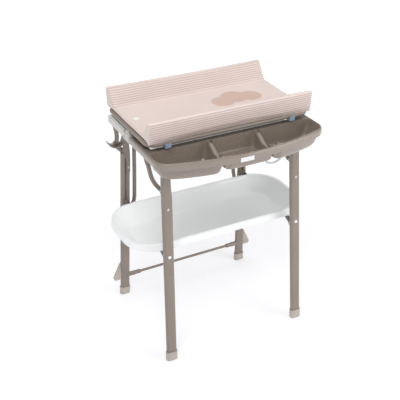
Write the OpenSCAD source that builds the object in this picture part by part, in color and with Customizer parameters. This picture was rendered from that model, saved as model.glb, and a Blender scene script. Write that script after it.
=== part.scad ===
// Folding changing table with bath tub, tool caddy and storage shelf.
// Millimetres. X to the right, Y to the back, Z up, floor at Z = 0.

/* [Legs] */
// Width of the flat-oval leg tube, across the table
leg_width = 43; // [36:1:48]
// Thickness of the flat-oval leg tube
leg_thick = 22; // [20:1:26]
// Wall thickness of the leg tubes
leg_wall = 1.5; // [1:0.1:3]
// Height of the plastic foot caps
foot_height = 38; // [25:1:50]

/* [Shelf] */
// Half length of the storage tray, across the table
tray_half = 400; // [380:1:405]
// Depth of the storage tray below its rim
tray_depth = 66; // [40:1:68]
// Wall thickness of the storage tray
tray_wall = 3; // [2:0.5:4]
// Height of the skirt around the tray rim
skirt_height = 30; // [20:1:32]

/* [Caddy] */
// Height of the caddy rim band
band_height = 30; // [20:1:34]
// Depth of the two outer caddy pockets below the band
pocket_depth = 51; // [40:1:52]
// Width of the caddy rim
rim_width = 11; // [8:1:14]

/* [Tub] */
// Depth of the bath tub below its rim
tub_depth = 128; // [100:1:128]
// Wall thickness of the bath tub
tub_wall = 3; // [2.5:0.5:4]

/* [Mat] */
// Height of the side bolsters above the mat base
bolster_height = 86; // [60:1:95]
// Thickness of the flat middle of the mat
mat_flat = 10; // [8:1:30]
// Half length of the mat
mat_half = 346; // [320:1:348]

/* [Hidden] */
$fn = 48;

// Pivot axes run along X; each is given as [y, z].
pivot_a = [212, 776];
pivot_b = [-176, 740];
pivot_d = [190, 490];
pivot_c = [-198, 454];
mat_axis = [222, 916];
pivot_pin_r = 4;
pivot_bore_r = 4.3;

// Leg centre lines, left side: foot point and a point near the top.
front_foot = [-298.5, -254, 0];
front_top = [-276.5, -192.5, 800];
rear_foot = [-299.5, 246, 0];
rear_top = [-277.5, 204, 720];
function len3(v) = sqrt(v[0]*v[0] + v[1]*v[1] + v[2]*v[2]);
front_len = len3(front_top - front_foot);
rear_len = len3(rear_top - rear_foot);
function at_z(p, q, z) = p + (q - p)*((z - p[2])/(q[2] - p[2]));
rear_split = 505;
rear_split_len = rear_len*rear_split/rear_top[2];

module along(p, q) {
    v = q - p;
    translate(p)
    rotate([-asin(v[1]/len3(v)), atan2(v[0], v[2]), 0])
    children();
}

// Moves everything so that Y = 0 is the middle of the overall depth.
mid_shift = 45;
module placed() {
    translate([0, mid_shift, 0])
    children();
}

module pair() {
    children();
    mirror([1, 0, 0])
    children();
}

module oval(w, t) {
    square([w - t, t], center = true);
    translate([-(w - t)/2, 0])
    circle(d = t);
    translate([(w - t)/2, 0])
    circle(d = t);
}

// A straight rod along X between two x values at [y, z].
module rod_x(x0, x1, yz, r) {
    translate([min(x0, x1), yz[0], yz[1]])
    rotate([0, 90, 0])
    cylinder(r = r, h = abs(x1 - x0));
}

// Round tube or hose swept along a route with a fixed number of sides.
function unit(v) = v/len3(v);
function tangent(path, i) =
    i == 0 ? unit(path[1] - path[0]) :
    i == len(path) - 1 ? unit(path[i] - path[i - 1]) :
    unit(unit(path[i] - path[i - 1]) + unit(path[i + 1] - path[i]));
function carry(u, t) = unit(u - t*(u*t));
function frames(path, i, u) =
    i == len(path) ? [] :
    let (t = tangent(path, i), w = carry(u, t))
    concat([[w, cross(t, w)]], frames(path, i + 1, w));
function first_side(path) =
    let (t = tangent(path, 0))
    abs(t[2]) < 0.9 ? carry([0, 0, 1], t) : carry([1, 0, 0], t);
module sweep(path, r, sides = 16, wall = 0) {
    f = frames(path, 0, first_side(path));
    n = len(path);
    outer = [for (i = [0:n - 1]) for (k = [0:sides - 1])
        path[i] + r*(cos(360*k/sides)*f[i][0] + sin(360*k/sides)*f[i][1])];
    inner = [for (i = [0:n - 1]) for (k = [0:sides - 1])
        path[i] + (r - wall)*(cos(360*k/sides)*f[i][0] + sin(360*k/sides)*f[i][1])];
    m = n*sides;
    skin = [for (i = [0:n - 2]) for (k = [0:sides - 1]) let (j = (k + 1)%sides)
        each [[i*sides + k, i*sides + j, (i + 1)*sides + j],
              [i*sides + k, (i + 1)*sides + j, (i + 1)*sides + k]]];
    if (wall <= 0) {
        polyhedron(outer, concat(
            [for (q = skin) [q[0], q[2], q[1]]],
            [[for (k = [0:sides - 1]) k]],
            [[for (k = [sides - 1:-1:0]) (n - 1)*sides + k]]), convexity = 6);
    } else {
        polyhedron(concat(outer, inner), concat(
            [for (q = skin) [q[0], q[2], q[1]]],
            [for (q = skin) [m + q[0], m + q[1], m + q[2]]],
            [for (k = [0:sides - 1]) let (j = (k + 1)%sides) each
                [[k, j, m + j], [k, m + j, m + k]]],
            [for (k = [0:sides - 1]) let (j = (k + 1)%sides, b = (n - 1)*sides) each
                [[b + j, b + k, m + b + k], [b + j, m + b + k, m + b + j]]]),
            convexity = 6);
    }
}

// Smooth curve through round route points.
function smooth_point(p0, p1, p2, p3, t) =
    0.5*((2*p1) + (p2 - p0)*t + (2*p0 - 5*p1 + 4*p2 - p3)*t*t
    + (3*p1 - p0 - 3*p2 + p3)*t*t*t);
function smooth(p, steps) =
    let (n = len(p)) concat(
    [for (i = [0:n - 2]) for (s = [0:steps - 1])
        smooth_point(p[max(i - 1, 0)], p[i], p[i + 1], p[min(i + 2, n - 1)], s/steps)],
    [p[n - 1]]);

// Closed skin through rings of equal count, flat caps at both ends.
module skin_solid(rings) {
    n = len(rings);
    c = len(rings[0]);
    polyhedron([for (g = rings) for (p = g) p], concat(
        [[for (k = [0:c - 1]) k]],
        [for (i = [0:n - 2]) for (k = [0:c - 1]) let (j = (k + 1)%c) each
            [[i*c + k, (i + 1)*c + k, (i + 1)*c + j],
             [i*c + k, (i + 1)*c + j, i*c + j]]],
        [[for (k = [c - 1:-1:0]) (n - 1)*c + k]]), convexity = 8);
}

// Rounded box ring: half sizes a and b, corner radius r, centre y and height z.
function ring(a, b, r, yc, z, q = 10) =
    [for (c = [0:3]) for (i = [0:q])
        let (t = 90*c + 90*i/q,
             sx = (c == 0 || c == 3) ? 1 : -1,
             sy = (c < 2) ? 1 : -1)
        [sx*(a - r) + r*cos(t), yc + sy*(b - r) + r*sin(t), z]];

// ---------------------------------------------------------------- rear frame
module rear_leg() {
    along(rear_foot, rear_top)
    difference() {
        translate([0, 0, 6])
        linear_extrude(rear_split_len - 6)
        oval(leg_width - 1, leg_thick);
        translate([0, 0, 5])
        linear_extrude(rear_split_len - 9)
        oval(leg_width - 1 - 2*leg_wall, leg_thick - 2*leg_wall);
    }
}
module rear_leg_left() color([0.60, 0.55, 0.51]) placed() rear_leg();
module rear_leg_right() color([0.60, 0.55, 0.51]) placed() mirror([1, 0, 0]) rear_leg();

// Each leg's oval tube splits into two round tubes. The outer one stops under
// the inner one, which bends outwards to carry the pivot channel.
outer_top_len = 730*rear_len/rear_top[2];
tube_r = 10;
function inner_axis(z) = at_z(rear_foot, rear_top, z) + [10.5, 0, 0];
inner_route = concat(
    [inner_axis(rear_split + 0.4), inner_axis(600), inner_axis(670)],
    [[-269, 206, 698], [-275, 207, 716], [-287, 209, 735], [-300, 211, 750], [-311, 212, 763]]);
module rear_outer_tubes() color([0.60, 0.55, 0.51]) placed() pair()
    difference() {
        along(rear_foot, rear_top)
        translate([-10.5, 0, rear_split_len])
        difference() {
            cylinder(r = tube_r, h = outer_top_len - rear_split_len);
            translate([0, 0, -1])
            cylinder(r = tube_r - leg_wall, h = outer_top_len - rear_split_len - 70);
        }
        sweep(smooth(inner_route, 3), tube_r + 0.4, 16, 0);
    }
module rear_inner_tubes() color([0.62, 0.57, 0.53]) placed() pair()
    difference() {
        sweep(smooth(inner_route, 3), tube_r, 16, 0);
        pivot_channel(60);
        translate([-400, 150, 762])
        cube([200, 120, 60]);
    }

hoop_route = [[-263, 219, 452], [-254, 218, 468], [-246, 217, 484], [-241, 216, 510],
              [-240, 216, 535], [-236, 215, 630], [-233, 214, 735], [-229, 213, 758],
              [-218, 213, 770], [-200, 213, 774]];
module rear_hoop() color([0.55, 0.50, 0.46]) placed()
    difference() {
        sweep(concat(smooth(hoop_route, 2),
            [for (i = [len(hoop_route) - 1:-1:0])
                let (q = hoop_route[i]) [-q[0], q[1], q[2]]]), 8.5, 16, 1.5);
        pair()
        along(rear_foot, rear_top)
        linear_extrude(rear_split_len)
        oval(leg_width - 1, leg_thick);
    }

bar_yz = [238, 100];
bar_x = 251;
module rear_crossbar() color([0.57, 0.52, 0.48]) placed()
    difference() {
        rod_x(-bar_x, bar_x, bar_yz, 6);
        rod_x(-bar_x - 1, bar_x + 1, bar_yz, 4.5);
    }
module crossbar_sleeves() color([0.62, 0.57, 0.53]) placed() pair()
    difference() {
        union() {
            rod_x(-bar_x, -224, bar_yz, 9.5);
            rod_x(-290, -bar_x, bar_yz, 10.5);
        }
        rod_x(-bar_x, -200, bar_yz, 6);
        along(rear_foot, rear_top)
        linear_extrude(300)
        oval(leg_width - 1, leg_thick);
    }

module leg_fins() color([0.60, 0.55, 0.51]) placed() pair()
    difference() {
        translate([0, 248, 0])
        rotate([90, 0, 0])
        linear_extrude(12)
        polygon([[-312, 172], [-318, 166], [-332, 136], [-346, 106], [-350, 96],
                 [-349, 88], [-343, 84], [-330, 84], [-312, 86]]);
        along(rear_foot, rear_top)
        linear_extrude(300)
        oval(leg_width - 1, leg_thick);
    }

module foot_cap(p, q, w) {
    difference() {
        intersection() {
            along(p, q)
            translate([0, 0, -20])
            linear_extrude(foot_height + 20)
            oval(w + 6, leg_thick + 6);
            translate([-500, -500, 0])
            cube([1000, 1000, 100]);
        }
        along(p, q)
        translate([0, 0, 6])
        linear_extrude(100)
        oval(w, leg_thick);
    }
}
module rear_feet() color([0.71, 0.67, 0.63]) placed() pair() foot_cap(rear_foot, rear_top, leg_width - 1);

// Upturned hook-shaped channel that holds the rear pivot of the top frame.
channel_path = [[-346, 789], [-342, 780], [-334, 771], [-322, 766], [-311, 765.5],
                [-300, 767], [-291, 774], [-286, 785], [-282, 800]];
channel_under = [[-278, 801], [-282, 785.5], [-287.5, 772], [-298, 763.5], [-311, 761.5],
                 [-323, 762], [-336, 767.5], [-346, 777], [-350, 788]];
module pivot_channel(depth) {
    translate([0, 206 + depth/2, 0])
    rotate([90, 0, 0])
    linear_extrude(depth)
    polygon(concat(channel_path, channel_under));
}
module pivot_brackets() color([0.64, 0.60, 0.56]) placed() pair()
    difference() {
        pivot_channel(30);
        rod_x(-360, -270, pivot_a, pivot_pin_r);
    }
module pivot_pins() color([0.75, 0.75, 0.76]) placed() pair()
    rod_x(-346, -281, pivot_a, pivot_pin_r);
module gusset_plates() color([0.42, 0.37, 0.33]) placed() pair()
    difference() {
        translate([0, 200, 0])
        rotate([90, 0, 0])
        linear_extrude(4)
        polygon([[-278, 796], [-268, 790], [-262, 776], [-259, 740], [-259, 700],
                 [-262, 640], [-276, 640], [-278, 700], [-292, 740], [-288, 760], [-283, 776]]);
        sweep(smooth(inner_route, 3), tube_r, 16, 0);
        along(rear_foot, rear_top)
        translate([-10.5, 0, rear_split_len])
        cylinder(r = tube_r, h = outer_top_len - rear_split_len);
        rod_x(-360, -272, pivot_a, 8);
        pivot_channel(60);
    }

// Two cheeks standing off a leg, with their pin: x centre, cheek gap, sizes.
module cheeks(xc, gap, thick, axis, r, face_y) {
    d = face_y > axis[0] ? 1 : -1;
    for (s = [-1, 1])
    translate([xc + s*(gap/2 + thick/2), 0, 0])
    rotate([90, 0, 90])
    translate([0, 0, -thick/2])
    linear_extrude(thick)
    union() {
        translate(axis)
        circle(r = r);
        polygon([[axis[0], axis[1] - r], [face_y + d*3, axis[1] - r - 4],
                 [face_y + d*3, axis[1] + r + 1], [axis[0], axis[1] + r]]);
    }
}
shelf_x = -284.5;
module shelf_clevises() color([0.52, 0.52, 0.52]) placed() pair()
    difference() {
        cheeks(shelf_x, 21, 3, pivot_d, 7, 206);
        rod_x(-320, -250, pivot_d, 3);
        along(rear_foot, rear_top)
        linear_extrude(rear_split_len)
        oval(leg_width - 1, leg_thick);
    }
module shelf_pins() color([0.75, 0.75, 0.76]) placed() pair()
    rod_x(shelf_x - 13.5, shelf_x + 13.5, pivot_d, 3);

// Places a fastener on the front face of a leg, p to q, at height z.
module on_front_face(p, q, z, off) {
    along(p, q)
    translate([0, -leg_thick/2 - off, z*len3(q - p)/q[2]])
    rotate([90, 0, 0])
    children();
}
module rear_rivets() color([0.72, 0.72, 0.73]) placed() pair()
    union() {
        translate([-269, 196, 662])
        rotate([90, 0, 0])
        cylinder(r = 5, h = 2);
        on_front_face(rear_foot, rear_top, 20, 3)
        cylinder(r = 3, h = 1);
    }

// ---------------------------------------------------------------- top frame
rail_x = 335;
rail_z = 897;
rail_rear = 190;
rail_len = 160;
module rail_section() {
    square([16, 30], center = true);
    square([20, 26], center = true);
    for (a = [-8, 8]) for (b = [-13, 13])
    translate([a, b])
    circle(r = 2);
}
module side_rails() color([0.74, 0.72, 0.70]) placed() pair()
    translate([-rail_x, rail_rear, rail_z])
    rotate([90, 0, 0])
    linear_extrude(rail_len)
    difference() {
        rail_section();
        square([17, 27], center = true);
    }
rear_rail_yz = [186, 893];
module rear_rail() color([0.60, 0.55, 0.51]) placed()
    difference() {
        rod_x(-325, 325, rear_rail_yz, tube_r);
        rod_x(-326, 326, rear_rail_yz, tube_r - leg_wall);
    }
lug_route = [[-331, 176, 888], [-323, 178, 860], [-315, 188, 826], [-312, 197, 802],
             [-311, 205, 787], [-311, 212, 776]];
module rail_lugs() color([0.66, 0.62, 0.58]) placed() pair()
    difference() {
        union() {
            sweep(smooth(lug_route, 2), 9, 16, 0);
            rod_x(-322, -302, pivot_a, 8.5);
        }
        rod_x(-360, -270, pivot_a, pivot_bore_r);
        translate([-360, 120, rail_z - 15.05])
        cube([60, 100, 20]);
    }
module latch_blocks() color([0.72, 0.71, 0.70]) placed() pair()
    difference() {
        union() {
            translate([-347, -30, 881])
            cube([24, 60, 30]);
            translate([-344, -20, 911])
            cube([18, 34, 9]);
            translate([-342, -14, 920])
            cube([14, 22, 5.7]);
        }
        translate([-350, 16, 887])
        cube([5, 6, 30]);
        translate([-350, -24, 887])
        cube([5, 6, 30]);
    }
brace_r = 8.5;
brace_route = [[-331, -138, 884], [-328, -138, 862], [-320, -136, 835], [-310, -126, 800],
               [-303, -124, 774], [-292, -130, 748], [-282, -143, 734], [-281, -158, 733],
               [-280.5, -168, 735], [-280.5, -176, 740]];
module brace_tubes() color([0.62, 0.57, 0.53]) placed() pair()
    difference() {
        union() {
            sweep(smooth(brace_route, 2), brace_r, 16, 0);
            rod_x(-290.5, -270.5, pivot_b, brace_r);
        }
        rod_x(-360, -200, pivot_b, pivot_bore_r);
        translate([-360, -200, 879.9])
        cube([80, 120, 20]);
    }

// Caddy: bowed rim band with three hanging pockets and two rounded dividers.
bow_r = 986;
bow_y = 636;
corner_r = 58;
side_x = 348;
corner_y = bow_y - sqrt((bow_r - corner_r)*(bow_r - corner_r)
    - (side_x - corner_r)*(side_x - corner_r));
bow_half = asin((side_x - corner_r)/(bow_r - corner_r));
function caddy_outline(i) = concat(
    [for (k = [0:18]) let (t = -90 - bow_half + 2*bow_half*k/18)
        [(bow_r - i)*cos(t), bow_y + (bow_r - i)*sin(t)]],
    [for (k = [1:9]) let (t = -90 + bow_half + (90 - bow_half)*k/9)
        [side_x - corner_r + (corner_r - i)*cos(t), corner_y + (corner_r - i)*sin(t)]],
    [[side_x - i, -30 - i], [-side_x + i, -30 - i]],
    [for (k = [0:8]) let (t = -180 + (90 - bow_half)*k/9)
        [-side_x + corner_r + (corner_r - i)*cos(t), corner_y + (corner_r - i)*sin(t)]]);
function lift(list, z) = [for (p = list) [p[0], p[1], z]];
rim_z = 910;
band_z = rim_z - band_height;
divider_x = 100;
land_back = -160;
pocket_back = -187;
module caddy_band() {
    skin_solid([
        lift(caddy_outline(5), band_z),
        lift(caddy_outline(2), band_z + 2),
        lift(caddy_outline(0.5), band_z + 8),
        lift(caddy_outline(0), band_z + 16),
        lift(caddy_outline(0.6), rim_z - 5),
        lift(caddy_outline(2.2), rim_z - 1.8),
        lift(caddy_outline(4.5), rim_z)]);
}
// Plan of one pocket: the front follows the bow at inset i, rear edge at yr.
function pod_ring(x0, x1, i, r0, r1, yr, z) =
    let (s0 = asin((x0 + r0)/(bow_r - i - r0)),
         s1 = asin((x1 - r1)/(bow_r - i - r1)),
         c0 = bow_y - (bow_r - i - r0)*cos(s0),
         c1 = bow_y - (bow_r - i - r1)*cos(s1),
         q = 14)
    concat(
    [for (k = [0:6]) let (t = 180 + (90 + s0)*k/6) [x0 + r0 + r0*cos(t), c0 + r0*sin(t), z]],
    [for (k = [1:9]) let (t = s0 + (s1 - s0)*k/10)
        [(bow_r - i)*sin(t), bow_y - (bow_r - i)*cos(t), z]],
    [for (k = [0:6]) let (t = 270 + s1 + (90 - s1)*k/6)
        [x1 - r1 + r1*cos(t), c1 + r1*sin(t), z]],
    [for (k = [0:4]) let (t = 22.5*k) [x1 - q + q*cos(t), yr - q + q*sin(t), z]],
    [for (k = [0:4]) let (t = 90 + 22.5*k) [x0 + q + q*cos(t), yr - q + q*sin(t), z]]);
// Pocket walls from the floor up: drop below the band, inset from the bow.
side_wall = [[52, 52], [50, 42], [46, 33.5], [40, 25.5], [31, 21], [15, 17], [0, 14]];
middle_wall = [[38, 40], [36.5, 33], [33, 27], [27, 22], [15, 18], [0, 14]];
// Inside of the band above the pockets: height above its foot, inset past the rim.
mouth = [[2, 6], [15, 3], [25, 1], [31, -1]];
// g is 0 for the outside of a pocket and the wall thickness for its inside.
module pocket(x0, x1, e0, e1, r0, r1, wall, g) {
    low = [for (k = [0:len(wall) - (g > 0 ? 2 : 1)])
        let (i = wall[k][1], d = i - 14, z = band_z + 1 - wall[k][0]*pocket_depth/51)
        pod_ring(x0 + d*e0 + g, x1 - d*e1 - g, i + g, r0, r1,
            pocket_back + 3 - g - 0.3*d, z + g)];
    high = g == 0 ? [] : [for (p = mouth)
        pod_ring(x0 + g + (e0 > 1 ? p[1] - 6 : 0), x1 - g - (e1 > 1 ? p[1] - 6 : 0),
            rim_width + p[1], r0, r1, pocket_back, band_z + p[0])];
    skin_solid(concat(low, high));
}
module pockets(g) {
    pocket(-337, -107, 1.5, 0.6, 45, 22, side_wall, g);
    pocket(-93, 93, 0.15, 0.15, 14, 14, middle_wall, g);
    pocket(107, 337, 0.6, 1.5, 22, 45, side_wall, g);
}
// Top line of a divider from the front rim to the rear land, [y, z].
divider_line = [[-331, 884], [-328.5, 881], [-324, 876], [-316, 874], [-300, 874],
                [-272, 876], [-255, 881], [-238, 890], [-222, 900], [-207, 907], [-184, 908]];
function divider_ring(x, p) =
    let (low = max(864, p[1] - 30), side = p[1] - 8)
    [[x, p[0], p[1]], [x + 5, p[0], p[1] - 0.8], [x + 8.5, p[0], p[1] - 3.5],
     [x + 10, p[0], side], [x + 10, p[0], low], [x - 10, p[0], low],
     [x - 10, p[0], side], [x - 8.5, p[0], p[1] - 3.5], [x - 5, p[0], p[1] - 0.8]];
function rounded(x0, x1, y0, y1, r) = concat(
    [for (k = [0:6]) let (t = 180 + 15*k) [x0 + r + r*cos(t), y0 + r + r*sin(t)]],
    [for (k = [0:6]) let (t = 270 + 15*k) [x1 - r + r*cos(t), y0 + r + r*sin(t)]],
    [for (k = [0:6]) let (t = 15*k) [x1 - r + r*cos(t), y1 - r + r*sin(t)]],
    [for (k = [0:6]) let (t = 90 + 15*k) [x0 + r + r*cos(t), y1 - r + r*sin(t)]]);
module caddy() color([0.60, 0.55, 0.51]) placed()
    union() {
        difference() {
            union() {
                difference() {
                    caddy_band();
                    translate([-318, land_back, 800])
                    cube([636, 300, 200]);
                    translate([-332, pocket_back + 3, band_z - 1])
                    cube([664, 21, 27]);
                    for (s = [-1, 1])
                    translate([s*divider_x - 10, 0, 0])
                    rotate([90, 0, 90])
                    linear_extrude(20)
                    polygon(concat([[-330, 872]],
                        [for (k = [3:len(divider_line) - 2])
                            [divider_line[k][0], divider_line[k][1] - 12]],
                        [[pocket_back, 895], [pocket_back, 920], [-330, 920]]));
                }
                pockets(0);
            }
            pockets(3);
        }
        for (s = [-1, 1])
        skin_solid([for (p = divider_line) divider_ring(s*divider_x, p)]);
    }

// Bath tub: one skin from the outside bottom over the rim to the inside floor.
rim_top = 915;
tub_yc = 16;
tub_floor = rim_top - tub_depth;
module tub() color([0.93, 0.93, 0.92]) placed()
    difference() {
        union() {
            skin_solid([
                ring(248, 104, 50, tub_yc, tub_floor),
                ring(260, 116, 56, tub_yc, tub_floor + 4),
                ring(272, 130, 60, tub_yc, tub_floor + 24),
                ring(296, 156, 56, tub_yc, rim_top - 11),
                ring(299, 159, 56, tub_yc, rim_top - 3),
                ring(316, 176, 60, tub_yc, rim_top - 3),
                ring(316, 176, 60, tub_yc, rim_top),
                ring(301, 161, 56, tub_yc, rim_top),
                ring(298, 158, 54, tub_yc, rim_top - 3),
                ring(293, 153, 54, tub_yc, rim_top - 11),
                ring(269, 127, 58, tub_yc, tub_floor + 25),
                ring(257, 114, 56, tub_yc, tub_floor + 7),
                ring(246, 103, 49, tub_yc, tub_floor + tub_wall)]);
            for (s = [-1, 1])
            translate([s*328 - 14, 34, rim_top - 3])
            cube([28, 150, 3]);
        }
        translate([drain_x, drain_y, tub_floor - 10])
        cylinder(r = 9, h = 30);
    }

drain_x = 217;
drain_y = -70;
hose_r = 5;
module drain_fitting() color([0.92, 0.92, 0.90]) placed()
    difference() {
        union() {
            translate([drain_x, drain_y, tub_floor - 4])
            cylinder(r = 15, h = 4);
            translate([drain_x, drain_y, tub_floor - 16])
            cylinder(r = 12, h = 12);
            translate([drain_x, drain_y, tub_floor - 24])
            cylinder(r = hose_r, h = 8);
        }
        translate([drain_x, drain_y, tub_floor - 12])
        cylinder(r = 9, h = 20);
        translate([drain_x, drain_y, tub_floor - 30])
        cylinder(r = 3.4, h = 30);
    }
module drain_plug() color([0.62, 0.70, 0.78]) placed()
    union() {
        translate([drain_x, drain_y, tub_floor + 0.5])
        cylinder(r = 8.6, h = tub_wall - 0.5);
        translate([drain_x, drain_y, tub_floor + tub_wall])
        cylinder(r = 11, h = 3);
        translate([drain_x, drain_y, tub_floor + tub_wall + 3])
        cylinder(r = 5, h = 5);
    }
// The hose leaves the drain, hangs in a loop and ends in the clip under the rim.
hose_route = [[217, -70, 763], [217, -70, 752], [217, -70, 740], [217, -70, 727],
              [219, -70, 712], [226, -70, 698], [237, -70, 687], [250, -70, 681],
              [264, -70, 679], [278, -70, 681], [291, -70, 687], [302, -69, 698],
              [309, -69, 712], [311, -68, 727], [311, -68, 745], [311, -68, 770],
              [311, -67, 800], [310, -66, 830], [309, -65, 858], [309, -65, 884]];
module drain_hose() color([0.90, 0.91, 0.92]) placed()
    sweep(smooth(hose_route, 2), hose_r, 12, 0);
clip_foot = 884.3;
module hose_clip() color([0.62, 0.68, 0.74]) placed()
    translate([309, -65, clip_foot])
    cylinder(r = 6.5, h = rim_top - 3 - clip_foot);

hinge_x = 210;
module mat_hinge_brackets() color([0.58, 0.54, 0.50]) placed()
    for (s = [-1, 1])
    difference() {
        union() {
            for (t = [-1, 1])
            translate([s*hinge_x + t*15, 0, 0])
            rotate([90, 0, 90])
            translate([0, 0, -2])
            linear_extrude(4)
            union() {
                translate(mat_axis)
                circle(r = 7);
                polygon([[196, 903], [193, 886], [206, 890], [229, 914], [222, 923],
                         [215, 917]]);
            }
        }
        rod_x(-330, 330, mat_axis, 3);
        rod_x(-330, 330, rear_rail_yz, tube_r);
    }
module mat_hinge_pins() color([0.75, 0.75, 0.76]) placed()
    for (s = [-1, 1])
    rod_x(s*hinge_x - 17, s*hinge_x + 17, mat_axis, 3);

// ---------------------------------------------------------------- front legs
// Leg outline towards the top, [x, length along the leg], outer then inner edge.
leg_outer = [[-21.5, 780], [-20, 795], [-17.5, 810], [-15.5, 820], [-12, 825]];
leg_inner = [[9, 825], [12, 819], [14, 800], [14.5, 768], [17.5, 740], [20, 715], [21.5, 690]];
module front_leg() {
    along(front_foot, front_top)
    difference() {
        intersection() {
            translate([0, 0, 6])
            linear_extrude(830)
            oval(leg_width, leg_thick);
            rotate([90, 0, 0])
            translate([0, 0, -30])
            linear_extrude(60)
            polygon(concat([[21.5, 0], [-21.5, 0]], leg_outer, leg_inner)
                *[[leg_width/43, 0], [0, 1]]);
        }
        translate([0, 0, 5])
        linear_extrude(635)
        oval(leg_width - 2*leg_wall, leg_thick - 2*leg_wall);
    }
}
module front_leg_left() color([0.60, 0.55, 0.51]) placed() front_leg();
module front_leg_right() color([0.60, 0.55, 0.51]) placed() mirror([1, 0, 0]) front_leg();
module front_feet() color([0.71, 0.67, 0.63]) placed() pair() foot_cap(front_foot, front_top, leg_width);

module front_leg_cut() {
    along(front_foot, front_top)
    linear_extrude(front_len)
    oval(leg_width, leg_thick);
}
top_x = -280.5;
low_x = -285.5;
module top_clevises() color([0.56, 0.51, 0.47]) placed() pair()
    difference() {
        cheeks(top_x, 21, 3, pivot_b, 7, -185);
        rod_x(-320, -250, pivot_b, pivot_pin_r);
        front_leg_cut();
    }
module top_clevis_pins() color([0.75, 0.75, 0.76]) placed() pair()
    rod_x(top_x - 13.5, top_x + 13.5, pivot_b, pivot_pin_r);
module low_clevises() color([0.30, 0.29, 0.28]) placed() pair()
    difference() {
        cheeks(low_x, 15, 3, pivot_c, 7, -206);
        rod_x(-320, -250, pivot_c, 3);
        front_leg_cut();
    }
module low_clevis_pins() color([0.75, 0.75, 0.76]) placed() pair()
    rod_x(low_x - 10.5, low_x + 10.5, pivot_c, 3);

module front_rivets() color([0.72, 0.72, 0.73]) placed() pair()
    on_front_face(front_foot, front_top, 677, 0)
    cylinder(r = 5, h = 1.8);
module rivet_caps() color([0.95, 0.95, 0.94]) placed() pair()
    on_front_face(front_foot, front_top, 476, 0)
    union() {
        cylinder(r = 6.5, h = 1.6);
        translate([0, 0, 1.6])
        cylinder(r = 4.5, h = 1.2);
    }
module foot_screws() color([0.72, 0.72, 0.73]) placed() pair()
    on_front_face(front_foot, front_top, 22, 3)
    cylinder(r = 3, h = 1);

// ---------------------------------------------------------------- shelf
tray_rim = 500;
tray_b = 178.5;
tray_yc = 12.5;
tray_r = 130;
// Tray rings are true offsets: p is the inset and the height above the rim.
function tray_ring(p) =
    ring(tray_half - p[0], tray_b - p[0], tray_r - p[0], tray_yc, tray_rim + p[1]);
tray_under = [[78, -tray_depth - tray_wall], [66, -tray_depth + 0.5], [20, -14], [14.5, -4.5]];
tray_over = [[6, -4], [3.5, -skirt_height], [0, -skirt_height], [1, -12], [3, -3], [6, 0],
             [12, 0], [16, -2], [22, -12], [68, -tray_depth + 3], [76, -tray_depth]];
module tray() color([0.93, 0.93, 0.92]) placed()
    difference() {
        skin_solid([for (p = concat(tray_under, tray_over)) tray_ring(p)]);
        for (s = [-1, 1])
        translate([s*284.5 - 17, 181, tray_rim - 38])
        cube([34, 33, 44]);
    }
// Everything above the underside of the tray, inside its skirt.
module above_tray() {
    skin_solid([for (p = concat(tray_under, [[6, -4], [6, 3]])) tray_ring(p)]);
}
module tray_lugs() color([0.80, 0.80, 0.80]) placed() pair()
    union() {
        difference() {
            union() {
                rod_x(shelf_x - 10, shelf_x + 10, pivot_d, 6.5);
                translate([shelf_x - 10, 174, 485])
                cube([20, 16, 8]);
                translate([shelf_x - 10, 174, 485])
                cube([20, 7, 12]);
            }
            rod_x(-330, -240, pivot_d, 3.3);
            above_tray();
        }
        difference() {
            union() {
                rod_x(low_x - 7, low_x + 7, pivot_c, 7);
                translate([low_x - 7, 0, 0])
                rotate([90, 0, 90])
                linear_extrude(14)
                polygon([[-197, 461], [-195, 447.6], [-150, 466], [-150, 497], [-159.8, 497],
                         [-162.3, 470], [-170, 470]]);
            }
            rod_x(-330, -240, pivot_c, 4);
            above_tray();
            skin_solid([for (p = concat(tray_under, tray_over)) tray_ring(p)]);
        }
    }

// ---------------------------------------------------------------- mat
mat_z = 944.3;
module mat_pad() color([0.90, 0.84, 0.82]) placed()
    translate([-mat_half, 0, 0])
    rotate([90, 0, 90])
    linear_extrude(2*mat_half)
    polygon([[-190, mat_z], [-193.2, mat_z], [-193.2, 933], [-196.8, 933],
             [-197, mat_z + bolster_height - 8],
             [-194, mat_z + bolster_height - 2], [-189, mat_z + bolster_height],
             [-183, mat_z + bolster_height - 3], [-128, mat_z + mat_flat + 3],
             [-118, mat_z + mat_flat], [136, mat_z + mat_flat],
             [146, mat_z + mat_flat + 3], [190, mat_z + bolster_height - 3],
             [197, mat_z + bolster_height], [204, mat_z + bolster_height - 1],
             [208, mat_z + bolster_height - 7], [209, mat_z + 4], [205, mat_z]]);
frame_a = 335;
frame_y0 = -183;
frame_y1 = 197;
frame_r = 34;
frame_z = 935;
module mat_board() color([0.45, 0.41, 0.38]) placed()
    translate([0, 0, 938])
    linear_extrude(6)
    polygon(rounded(-frame_a + 9.5, frame_a - 9.5, frame_y0 + 9.5, frame_y1 - 9.5, 24));
module quarter(x, y, a) {
    translate([x, y, frame_z])
    rotate([0, 0, a])
    rotate_extrude(angle = 90)
    translate([frame_r, 0])
    circle(r = 9);
}
module mat_frame() color([0.58, 0.53, 0.49]) placed()
    union() {
        quarter(frame_a - frame_r, frame_y1 - frame_r, 0);
        quarter(-frame_a + frame_r, frame_y1 - frame_r, 90);
        quarter(-frame_a + frame_r, frame_y0 + frame_r, 180);
        quarter(frame_a - frame_r, frame_y0 + frame_r, 270);
        for (y = [frame_y0, frame_y1])
        rod_x(-frame_a + frame_r, frame_a - frame_r, [y, frame_z], 9);
        for (x = [-frame_a, frame_a])
        translate([x, frame_y1 - frame_r, frame_z])
        rotate([90, 0, 0])
        cylinder(r = 9, h = frame_y1 - frame_y0 - 2*frame_r);
    }
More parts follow.
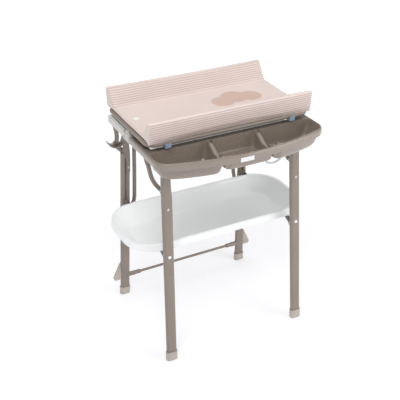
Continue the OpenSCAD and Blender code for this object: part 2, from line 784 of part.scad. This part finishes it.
module mat_clips() color([0.55, 0.62, 0.70]) placed()
    for (x = [-266, 253.5])
    difference() {
        translate([x - 11, 0, 0])
        rotate([90, 0, 90])
        linear_extrude(22)
        polygon([[-200.5, 921], [-180, 921], [-180, 930], [-197.2, 930], [-197.2, 938],
                 [-200.5, 938]]);
        rod_x(x - 20, x + 20, [frame_y0, frame_z], 9);
    }
module mat_knuckles() color([0.52, 0.48, 0.45]) placed()
    for (s = [-1, 1])
    difference() {
        union() {
            rod_x(s*hinge_x - 12.5, s*hinge_x + 12.5, mat_axis, 7);
            translate([s*hinge_x - 12.5, 0, 0])
            rotate([90, 0, 90])
            linear_extrude(25)
            polygon([[218, 910], [197, 920], [197, 932], [206, 932], [228, 919]]);
        }
        rod_x(-330, 330, mat_axis, 3.2);
        rod_x(-330, 330, [frame_y1, frame_z], 9);
    }

rear_leg_left();
rear_leg_right();
rear_outer_tubes();
rear_inner_tubes();
rear_hoop();
rear_crossbar();
crossbar_sleeves();
leg_fins();
rear_feet();
pivot_brackets();
gusset_plates();
pivot_pins();
shelf_clevises();
shelf_pins();
rear_rivets();
side_rails();
rear_rail();
rail_lugs();
latch_blocks();
brace_tubes();
caddy();
tub();
drain_fitting();
drain_plug();
drain_hose();
hose_clip();
mat_hinge_brackets();
mat_hinge_pins();
front_leg_left();
front_leg_right();
front_feet();
top_clevises();
top_clevis_pins();
low_clevises();
low_clevis_pins();
front_rivets();
rivet_caps();
foot_screws();
tray();
tray_lugs();
mat_pad();
mat_board();
mat_frame();
mat_clips();
mat_knuckles();
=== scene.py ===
import math
import bpy
import numpy as np
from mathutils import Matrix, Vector


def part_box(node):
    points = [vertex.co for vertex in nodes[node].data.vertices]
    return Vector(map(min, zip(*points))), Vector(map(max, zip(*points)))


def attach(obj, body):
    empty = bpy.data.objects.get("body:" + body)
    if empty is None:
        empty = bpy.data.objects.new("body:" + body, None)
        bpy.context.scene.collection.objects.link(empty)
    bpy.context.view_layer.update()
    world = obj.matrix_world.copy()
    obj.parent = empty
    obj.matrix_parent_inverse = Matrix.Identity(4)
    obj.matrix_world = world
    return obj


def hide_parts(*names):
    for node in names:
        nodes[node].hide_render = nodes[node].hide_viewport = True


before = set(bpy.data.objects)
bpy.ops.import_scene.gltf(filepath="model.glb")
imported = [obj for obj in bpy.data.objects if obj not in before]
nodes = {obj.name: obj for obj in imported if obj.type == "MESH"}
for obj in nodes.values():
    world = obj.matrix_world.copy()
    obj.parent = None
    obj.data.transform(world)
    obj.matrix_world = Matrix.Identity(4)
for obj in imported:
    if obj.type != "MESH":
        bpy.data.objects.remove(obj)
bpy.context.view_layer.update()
scene = bpy.context.scene
MID = 0.045          # the row frame's Y shift from the middle of the four feet


def link(obj):
    scene.collection.objects.link(obj)
    return obj


def mesh_object(name, verts, faces):
    me = bpy.data.meshes.new(name)
    me.from_pydata([tuple(v) for v in verts], [], faces)
    me.update()
    me.polygons.foreach_set("use_smooth", [True] * len(me.polygons))
    return link(bpy.data.objects.new(name, me))


# ---------------------------------------------------------------- camera
SENSOR_WIDTH = 36.0                           # mm
LENS = 67.07                                  # mm
FARTHEST = 50                                 # metres
EYE = (-1.2521, -2.3590 + MID, 2.0832)        # metres
EYE_DIRECTION = (0.3958, 0.7694, -0.5013)

cam_data = bpy.data.cameras.new("camera")
cam_data.sensor_width = SENSOR_WIDTH
cam_data.lens = LENS
cam_data.clip_end = FARTHEST
camera = link(bpy.data.objects.new("camera", cam_data))
camera.location = EYE
camera.rotation_euler = Vector(EYE_DIRECTION).to_track_quat("-Z", "Y").to_euler()
scene.camera = camera
scene.view_settings.view_transform = "Standard"


# ---------------------------------------------------------------- drain hose
# The route is the one in part.scad, in metres.
HOSE_ROUTE = [
    (0.217, -0.070, 0.763), (0.217, -0.070, 0.752), (0.217, -0.070, 0.740),
    (0.217, -0.070, 0.727), (0.219, -0.070, 0.712), (0.226, -0.070, 0.698),
    (0.237, -0.070, 0.687), (0.250, -0.070, 0.681), (0.264, -0.070, 0.679),
    (0.278, -0.070, 0.681), (0.291, -0.070, 0.687), (0.302, -0.069, 0.698),
    (0.309, -0.069, 0.712), (0.311, -0.068, 0.727), (0.311, -0.068, 0.745),
    (0.311, -0.068, 0.770), (0.311, -0.067, 0.800), (0.310, -0.066, 0.830),
    (0.309, -0.065, 0.858), (0.309, -0.065, 0.884)]
HOSE_RADIUS = 0.005


def smooth(route, steps):
    """Catmull-Rom curve through the route, ends included."""
    p = [Vector(q) for q in route]
    out = []
    for i in range(len(p) - 1):
        a, b, c, d = p[max(i - 1, 0)], p[i], p[i + 1], p[min(i + 2, len(p) - 1)]
        for k in range(steps):
            t = k / steps
            out.append(0.5 * (2 * b + (c - a) * t + (2 * a - 5 * b + 4 * c - d) * t * t
                              + (3 * b - a - 3 * c + d) * t ** 3))
    return out + [p[-1]]


def hose_points():
    return [(q.x, q.y + MID, q.z) for q in smooth(HOSE_ROUTE, 3)]


def tube(name, points, radii, sides):
    """Mesh tube along points with a radius at each, closed at both ends."""
    pts = [Vector(q) for q in points]
    verts, faces = [], []
    side = None
    for i, q in enumerate(pts):
        t = (pts[min(i + 1, len(pts) - 1)] - pts[max(i - 1, 0)]).normalized()
        if side is None:
            side = Vector((1, 0, 0)) if abs(t.x) < 0.9 else Vector((0, 1, 0))
        side = (side - t * side.dot(t)).normalized()
        other = t.cross(side)
        for k in range(sides):
            a = 2 * math.pi * k / sides
            verts.append(q + radii[i] * (math.cos(a) * side + math.sin(a) * other))
    for i in range(len(pts) - 1):
        for k in range(sides):
            j = (k + 1) % sides
            faces.append((i * sides + k, i * sides + j, (i + 1) * sides + j, (i + 1) * sides + k))
    faces.append(tuple(range(sides - 1, -1, -1)))
    last = (len(pts) - 1) * sides
    faces.append(tuple(range(last, last + sides)))
    return mesh_object(name, verts, faces)


# ---------------------------------------------------------------- materials
def tree_of(name):
    m = bpy.data.materials.new(name)
    m.use_nodes = True
    t = m.node_tree
    return m, t, t.nodes["Principled BSDF"]


class Nodes:
    def __init__(self, t):
        self.t = t
        self.coord = t.nodes.new("ShaderNodeTexCoord").outputs["Object"]

    def new(self, kind, **values):
        n = self.t.nodes.new(kind)
        for k, v in values.items():
            setattr(n, k, v)
        return n

    def join(self, a, b):
        self.t.links.new(a, b)

    def noise(self, scale, detail=3.0, rough=0.5, stretch=None):
        n = self.new("ShaderNodeTexNoise")
        n.inputs["Scale"].default_value = scale
        n.inputs["Detail"].default_value = detail
        n.inputs["Roughness"].default_value = rough
        v = self.coord
        if stretch:
            mp = self.new("ShaderNodeMapping")
            mp.inputs["Scale"].default_value = stretch
            self.join(v, mp.inputs["Vector"])
            v = mp.outputs["Vector"]
        self.join(v, n.inputs["Vector"])
        return n.outputs["Fac"]

    def remap(self, fac, a, b, lo, hi):
        n = self.new("ShaderNodeMapRange")
        n.inputs["From Min"].default_value = a
        n.inputs["From Max"].default_value = b
        n.inputs["To Min"].default_value = lo
        n.inputs["To Max"].default_value = hi
        self.join(fac, n.inputs["Value"])
        return n.outputs["Result"]

    def math(self, op, a, b=None):
        n = self.new("ShaderNodeMath", operation=op)
        for i, v in enumerate((a, b)):
            if v is None:
                continue
            if isinstance(v, (int, float)):
                n.inputs[i].default_value = v
            else:
                self.join(v, n.inputs[i])
        return n.outputs[0]

    def mix(self, fac, a, b):
        n = self.new("ShaderNodeMix", data_type="RGBA")
        for key, v in (("Factor", fac), ("A", a), ("B", b)):
            i = next(s for s in n.inputs if s.name == key and s.enabled and
                     (key == "Factor" or s.type == "RGBA"))
            if isinstance(v, (int, float)):
                i.default_value = v
            elif isinstance(v, tuple):
                i.default_value = (*v, 1)
            else:
                self.join(v, i)
        return next(s for s in n.outputs if s.type == "RGBA")

    def bump(self, height, strength, distance, normal=None):
        n = self.new("ShaderNodeBump")
        n.inputs["Strength"].default_value = strength
        n.inputs["Distance"].default_value = distance
        self.join(height, n.inputs["Height"])
        if normal:
            self.join(normal, n.inputs["Normal"])
        return n.outputs["Normal"]


def srgb(r, g, b):
    def f(c):
        c /= 255
        return c / 12.92 if c <= 0.04045 else ((c + 0.055) / 1.055) ** 2.4
    return (f(r), f(g), f(b))


def edge_mask(n, radius):
    bev = n.new("ShaderNodeBevel", samples=4)
    bev.inputs["Radius"].default_value = radius
    geo = n.new("ShaderNodeNewGeometry")
    dot = n.new("ShaderNodeVectorMath", operation="DOT_PRODUCT")
    n.join(bev.outputs["Normal"], dot.inputs[0])
    n.join(geo.outputs["Normal"], dot.inputs[1])
    return n.remap(dot.outputs["Value"], 0.995, 0.90, 0.0, 1.0), bev.outputs["Normal"]


def painted(name, color, rough=0.38, coat=0.15, peel=0.05, wear=0.25):
    m, t, p = tree_of(name)
    n = Nodes(t)
    broad = n.noise(7, 3)
    fine = n.noise(140, 3)
    darker = tuple(c * 0.93 for c in color)
    lighter = tuple(min(1, c * 1.05) for c in color)
    col = n.mix(n.remap(broad, 0.3, 0.7, 0, 1), darker, lighter)
    mask, soft = edge_mask(n, 0.0014)
    worn = n.math("MULTIPLY", mask, n.remap(fine, 0.42, 0.62, 0, wear))
    col = n.mix(worn, col, tuple(min(1, c * 1.35) for c in color))
    n.join(col, p.inputs["Base Color"])
    n.join(n.remap(n.noise(60, 4), 0.25, 0.75, rough - 0.05, rough + 0.07), p.inputs["Roughness"])
    n.join(n.bump(n.noise(1100, 2), peel, 0.0004, soft), p.inputs["Normal"])
    p.inputs["Coat Weight"].default_value = coat
    p.inputs["Coat Roughness"].default_value = 0.18
    return m


def moulded(name, color, rough=0.32, grain=0.08, spread=0.04, sss=0.0, coat=0.12):
    m, t, p = tree_of(name)
    n = Nodes(t)
    broad = n.noise(5, 2)
    col = n.mix(n.remap(broad, 0.3, 0.7, 0, 1), tuple(c * (1 - spread) for c in color),
                tuple(min(1, c * (1 + spread)) for c in color))
    mask, soft = edge_mask(n, 0.0018)
    col = n.mix(n.math("MULTIPLY", mask, 0.12), col, tuple(min(1, c * 1.3) for c in color))
    n.join(col, p.inputs["Base Color"])
    scuff = n.noise(90, 5, 0.6, stretch=(1, 1, 3))
    n.join(n.remap(scuff, 0.3, 0.75, rough - 0.04, rough + 0.08), p.inputs["Roughness"])
    v = n.new("ShaderNodeTexVoronoi")
    v.inputs["Scale"].default_value = 1500
    n.join(n.coord, v.inputs["Vector"])
    n.join(n.bump(v.outputs["Distance"], grain, 0.0003, soft), p.inputs["Normal"])
    p.inputs["Coat Weight"].default_value = coat
    p.inputs["Coat Roughness"].default_value = 0.12
    if sss:
        p.inputs["Subsurface Weight"].default_value = sss
        p.inputs["Subsurface Radius"].default_value = (0.004, 0.004, 0.004)
    return m


def steel(name, color=(0.62, 0.62, 0.63), rough=0.28):
    m, t, p = tree_of(name)
    n = Nodes(t)
    streak = n.noise(400, 3, stretch=(1, 8, 8))
    n.join(n.mix(streak, tuple(c * 0.85 for c in color), color), p.inputs["Base Color"])
    n.join(n.remap(streak, 0.3, 0.7, rough, rough + 0.15), p.inputs["Roughness"])
    n.join(n.bump(streak, 0.1, 0.0003), p.inputs["Normal"])
    p.inputs["Metallic"].default_value = 1.0
    return m


TAUPE = srgb(137, 125, 115)
frame_mat = painted("frame_paint", TAUPE, rough=0.36, coat=0.25)
# painted shade: a darker copy of the frame's taupe paint for the inner tubes, hoop, gussets, lugs and
# braces, which sit in shadow
shaded_frame_mat = painted("frame_paint_shaded", srgb(131, 119, 109), rough=0.34, coat=0.25)
rail_mat = painted("rail_paint", srgb(196, 191, 186), rough=0.30, coat=0.3)
caddy_mat = moulded("caddy_moulding", srgb(141, 129, 118), rough=0.24, grain=0.02, coat=0.4)
block_mat = moulded("block_moulding", srgb(196, 193, 188), rough=0.42)
white_mat = moulded("white_moulding", srgb(246, 248, 248), rough=0.34, spread=0.01, sss=0.05)
foot_mat = moulded("foot_moulding", srgb(184, 174, 165), rough=0.5, grain=0.16)
dark_mat = painted("bracket_paint", srgb(92, 90, 88), rough=0.45, coat=0.0)
blue_mat = moulded("clip_moulding", srgb(140, 160, 182), rough=0.42)
mat_tube_mat = moulded("mat_tube_moulding", srgb(140, 128, 118), rough=0.36)
steel_mat = steel("pin_steel")
board_mat = moulded("base_board", srgb(120, 110, 102), rough=0.6, grain=0.3)
hose_mat = moulded("hose_plastic", srgb(228, 230, 232), rough=0.22, sss=0.25)

LOOKS = {
    frame_mat: ["rear_leg_left", "rear_leg_right", "rear_outer_tubes", "front_leg_left",
                "front_leg_right", "pivot_brackets", "rear_rail", "mat_hinge_brackets",
                "top_clevises", "rear_crossbar"],
    shaded_frame_mat: ["rear_inner_tubes", "rear_hoop", "gusset_plates", "rail_lugs", "brace_tubes"],
    rail_mat: ["side_rails"],
    caddy_mat: ["caddy", "crossbar_sleeves"],
    block_mat: ["latch_blocks"],
    white_mat: ["tub", "tray", "drain_fitting", "rivet_caps"],
    foot_mat: ["front_feet", "rear_feet", "leg_fins"],
    dark_mat: ["shelf_clevises", "low_clevises", "tray_lugs"],
    blue_mat: ["drain_plug", "hose_clip", "mat_clips"],
    mat_tube_mat: ["mat_frame", "mat_knuckles"],
    steel_mat: ["pivot_pins", "shelf_pins", "rear_rivets", "mat_hinge_pins", "top_clevis_pins",
                "low_clevis_pins", "front_rivets", "foot_screws"],
    board_mat: ["mat_board"],
}
for look, names in LOOKS.items():
    for name in names:
        o = nodes[name]
        if not o.material_slots:
            o.data.materials.append(look)
        for s in o.material_slots:
            s.material = look


# ---------------------------------------------------------------- hose
def make_hose():
    pts = hose_points()
    cu = bpy.data.curves.new("hose", "CURVE")
    cu.dimensions = "3D"
    cu.bevel_depth = HOSE_RADIUS
    cu.bevel_resolution = 6
    cu.use_fill_caps = True
    sp = cu.splines.new("POLY")
    sp.points.add(len(pts) - 1)
    for q, c in zip(sp.points, pts):
        q.co = (*c, 1)
    cu.materials.append(hose_mat)
    o = link(bpy.data.objects.new("hose", cu))
    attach(o, "top_frame")
    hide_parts("drain_hose")
    # tapered grip where the hose leaves the drain's nozzle
    x, y, z = pts[0]
    drops = [(0.004, 0.0068), (0.0, 0.0072), (-0.004, 0.0072), (-0.012, 0.0062), (-0.020, 0.0054)]
    grip = tube("hose_grip", [(x, y, z + d) for d, _ in drops], [r for _, r in drops], 20)
    grip.data.materials.append(blue_mat)
    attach(grip, "top_frame")


make_hose()


# ---------------------------------------------------------------- caddy label
def make_label():
    """Plain blank label on the bowed front of the caddy."""
    bow_y, bow_r = 0.636 + MID, 0.9864
    x0, x1, z0, z1 = -0.056, -0.002, 0.8825, 0.9000
    cols = 12
    verts, faces = [], []
    for z in (z0, z1):
        for k in range(cols + 1):
            x = x0 + (x1 - x0) * k / cols
            verts.append((x, bow_y - math.sqrt(bow_r ** 2 - x ** 2), z))
    for k in range(cols):
        faces.append((k, k + 1, cols + 2 + k, cols + 1 + k))
    o = mesh_object("label", verts, faces)
    o.data.materials.append(moulded("label_film", srgb(226, 226, 228), rough=0.3, spread=0.01))
    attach(o, "top_frame")


make_label()


# ---------------------------------------------------------------- changing mat
COVER = srgb(222, 206, 199)
COVER_STRIPE = srgb(172, 152, 146)
PICTURE = srgb(188, 142, 120)
BADGE = srgb(238, 240, 234)
WEAVE = (1900, 1500)                 # radians per metre, along and across
FRONT_STRIPES = (0.9495, 0.0081)     # first stripe's height and the spacing
REAR_STRIPES = (0.952, 0.0075)
FRONT_FACE_Y = -0.1835               # stripes lie in front of this
REAR_SLOPE_Y = 0.134                 # and behind this
# Plain discs stand in for the printed picture, and one for the round badge: x, y, radius.
PICTURE_DISCS = [(0.066, 0.008, 0.046), (0.128, 0.030, 0.056), (0.192, 0.012, 0.046)]
BADGE_DISC = (-0.299, 0.011, 0.012)
DISC_EDGE = 0.0012                   # half the width of a disc's soft edge


def stripes(n, height, first, pitch, top):
    """Level stripes by height, 0 to 1; top sets how soft they are."""
    phase = n.math("MULTIPLY", n.math("SUBTRACT", height, first), 2 * math.pi / pitch)
    return n.remap(n.math("SINE", phase), -0.35, top, 0, 1)


def disc(n, x, y, place):
    """1 inside a disc on the flat of the mat and 0 outside."""
    cx, cy, radius = place
    dx = n.math("SUBTRACT", x, cx)
    dy = n.math("SUBTRACT", y, cy)
    away = n.math("SQRT", n.math("ADD", n.math("MULTIPLY", dx, dx), n.math("MULTIPLY", dy, dy)))
    return n.remap(away, radius - DISC_EDGE, radius + DISC_EDGE, 1, 0)


def woven(n, x, y):
    """Two crossed fine waves, for the woven print and its relief."""
    along = n.math("SINE", n.math("MULTIPLY", n.math("ADD", x, n.math("MULTIPLY", y, 0.6)), WEAVE[0]))
    across = n.math("SINE", n.math("MULTIPLY", n.math("SUBTRACT", x, n.math("MULTIPLY", y, 1.4)),
                                   WEAVE[1]))
    return n.math("MULTIPLY", along, across)


def mat_material():
    m, t, p = tree_of("mat_cover")
    n = Nodes(t)
    place = n.new("ShaderNodeSeparateXYZ")
    n.join(n.coord, place.inputs["Vector"])
    x, y, z = place.outputs
    y = n.math("SUBTRACT", y, MID)
    surface = n.new("ShaderNodeTexCoord")
    facing = n.new("ShaderNodeSeparateXYZ")
    n.join(surface.outputs["Normal"], facing.inputs["Vector"])
    _, ny, nz = facing.outputs
    col = n.mix(n.remap(n.noise(9, 3), 0.3, 0.7, 0, 1), tuple(c * 0.96 for c in COVER), COVER)
    weave = woven(n, x, y)
    col = n.mix(n.remap(weave, -1, 1, 0.0, 0.10), col, tuple(c * 0.8 for c in COVER))
    # the front face
    front = n.math("MULTIPLY", n.math("LESS_THAN", y, FRONT_FACE_Y), n.remap(ny, -0.75, -0.85, 0, 1))
    jitter = n.remap(n.noise(300, 2, stretch=(0.15, 1, 1)), 0.3, 0.7, 0.75, 1.0)
    amount = n.math("MULTIPLY", n.math("MULTIPLY", stripes(n, z, *FRONT_STRIPES, 0.45), front), jitter)
    col = n.mix(n.math("MULTIPLY", amount, 0.8), col, COVER_STRIPE)
    # the rear slope
    rear = n.math("MULTIPLY", n.math("GREATER_THAN", y, REAR_SLOPE_Y), n.remap(ny, -0.3, -0.5, 0, 1))
    amount = n.math("MULTIPLY", stripes(n, z, *REAR_STRIPES, 0.5), rear)
    col = n.mix(n.math("MULTIPLY", amount, 0.55), col, COVER_STRIPE)
    # the flat
    flat = n.remap(nz, 0.75, 0.9, 0, 1)
    first, second, third = [disc(n, x, y, d) for d in PICTURE_DISCS]
    cloud = n.math("MAXIMUM", n.math("MAXIMUM", first, second), third)
    col = n.mix(n.math("MULTIPLY", n.math("MULTIPLY", cloud, flat), 0.55), col, PICTURE)
    badge = disc(n, x, y, BADGE_DISC)
    col = n.mix(n.math("MULTIPLY", n.math("MULTIPLY", badge, flat), 0.8), col, BADGE)
    n.join(col, p.inputs["Base Color"])
    n.join(n.remap(n.noise(30, 4), 0.3, 0.7, 0.46, 0.60), p.inputs["Roughness"])
    wrinkles = n.bump(n.noise(22, 3, 0.5, stretch=(1, 1.6, 1)), 0.18, 0.004)
    n.join(n.bump(weave, 0.12, 0.0003, wrinkles), p.inputs["Normal"])
    p.inputs["Sheen Weight"].default_value = 0.15
    p.inputs["Sheen Roughness"].default_value = 0.4
    return m


PAD_INSET = np.array([0.0035, 0.002, 0.002])   # taken off each side before the cover swells
VOXEL = 0.005
CLOTH_FRAMES = 20
CLOTH_PRESSURE = 3.0
CLOTH_REACH = 0.0035                           # the farthest that a point may move


def simulate(obj):
    rest = np.empty(len(obj.data.vertices) * 3)
    obj.data.vertices.foreach_get("co", rest)
    rest = rest.reshape(-1, 3)
    mod = obj.modifiers.new("cloth", "CLOTH")
    s = mod.settings
    s.quality = 5
    s.mass = 0.3
    s.tension_stiffness = s.compression_stiffness = 40
    s.shear_stiffness = 20
    s.bending_stiffness = 6
    s.use_pressure = True
    s.uniform_pressure_force = CLOTH_PRESSURE
    s.effector_weights.gravity = 0
    mod.point_cache.frame_start = 1
    mod.point_cache.frame_end = CLOTH_FRAMES
    for f in range(1, CLOTH_FRAMES + 1):
        scene.frame_set(f)
    dg = bpy.context.evaluated_depsgraph_get()
    ev = obj.evaluated_get(dg)
    out = np.empty(len(obj.data.vertices) * 3)
    ev.data.vertices.foreach_get("co", out)
    out = out.reshape(-1, 3)
    obj.modifiers.remove(mod)
    scene.frame_set(1)
    move = out - rest
    size = np.linalg.norm(move, axis=1, keepdims=True)
    move *= np.minimum(1.0, CLOTH_REACH / np.maximum(size, 1e-9))
    obj.data.vertices.foreach_set("co", (rest + move).ravel())
    obj.data.update()


def make_mat():
    lo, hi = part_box("mat_pad")
    src = nodes["mat_pad"]
    me = src.data.copy()
    o = link(bpy.data.objects.new("mat", me))
    c = (np.array(lo) + np.array(hi)) / 2
    half = (np.array(hi) - np.array(lo)) / 2
    shrink = (half - PAD_INSET) / half
    co = np.empty(len(me.vertices) * 3)
    me.vertices.foreach_get("co", co)
    co = (co.reshape(-1, 3) - c) * shrink + c
    me.vertices.foreach_set("co", co.ravel())
    me.materials.clear()
    me.materials.append(mat_material())
    rm = o.modifiers.new("remesh", "REMESH")
    rm.mode = "VOXEL"
    rm.voxel_size = VOXEL
    dg = bpy.context.evaluated_depsgraph_get()
    new = bpy.data.meshes.new_from_object(o.evaluated_get(dg))
    o.modifiers.remove(rm)
    o.data = new
    simulate(o)
    smoothing = o.modifiers.new("smooth", "SMOOTH")
    smoothing.factor = 0.5
    smoothing.iterations = 2
    finer = o.modifiers.new("subsurf", "SUBSURF")
    finer.levels = finer.render_levels = 1
    new.polygons.foreach_set("use_smooth", [True] * len(new.polygons))
    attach(o, "changing_mat")
    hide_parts("mat_pad")


make_mat()


# ---------------------------------------------------------------- stage and light
FLOOR = [(-6, -5, 0), (6, -5, 0), (6, 7, 0), (-6, 7, 0)]
WORLD_STRENGTH = 0.46
AIM = (0, 0, 0.6)
# name, place, [width, depth] in metres, power in watts
LIGHTS = [("key", (-1.2, -1.6, 3.4), (1.6, 1.6), 46),
          ("fill", (2.2, -2.4, 1.6), (2.0, 2.0), 38),
          ("top", (0.3, 0.8, 3.8), (2.6, 2.6), 30)]


def floor_material():
    """White that glows more with distance, so that only the shadows near the feet show."""
    m, t, p = tree_of("floor_white")
    p.inputs["Base Color"].default_value = (0.66, 0.655, 0.68, 1)
    p.inputs["Roughness"].default_value = 0.75
    p.inputs["Specular IOR Level"].default_value = 0.1
    p.inputs["Emission Color"].default_value = (1, 1, 1, 1)
    n = Nodes(t)
    away = n.new("ShaderNodeVectorMath", operation="LENGTH")
    n.join(n.coord, away.inputs[0])
    n.join(n.remap(away.outputs["Value"], 0.8, 3.0, 0.44, 0.80), p.inputs["Emission Strength"])
    return m


def make_stage():
    floor = mesh_object("floor", FLOOR, [(0, 1, 2, 3)])
    floor.data.materials.append(floor_material())
    world = bpy.data.worlds.new("world")
    scene.world = world
    world.use_nodes = True
    background = world.node_tree.nodes["Background"]
    background.inputs["Color"].default_value = (1, 1, 1, 1)
    background.inputs["Strength"].default_value = WORLD_STRENGTH


def make_lights():
    for name, place, size, power in LIGHTS:
        d = bpy.data.lights.new(name, "AREA")
        d.shape = "RECTANGLE"
        d.size, d.size_y = size
        d.energy = power
        o = link(bpy.data.objects.new(name, d))
        o.location = place
        o.rotation_euler = (Vector(AIM) - Vector(place)).to_track_quat("-Z", "Y").to_euler()


make_stage()
make_lights()
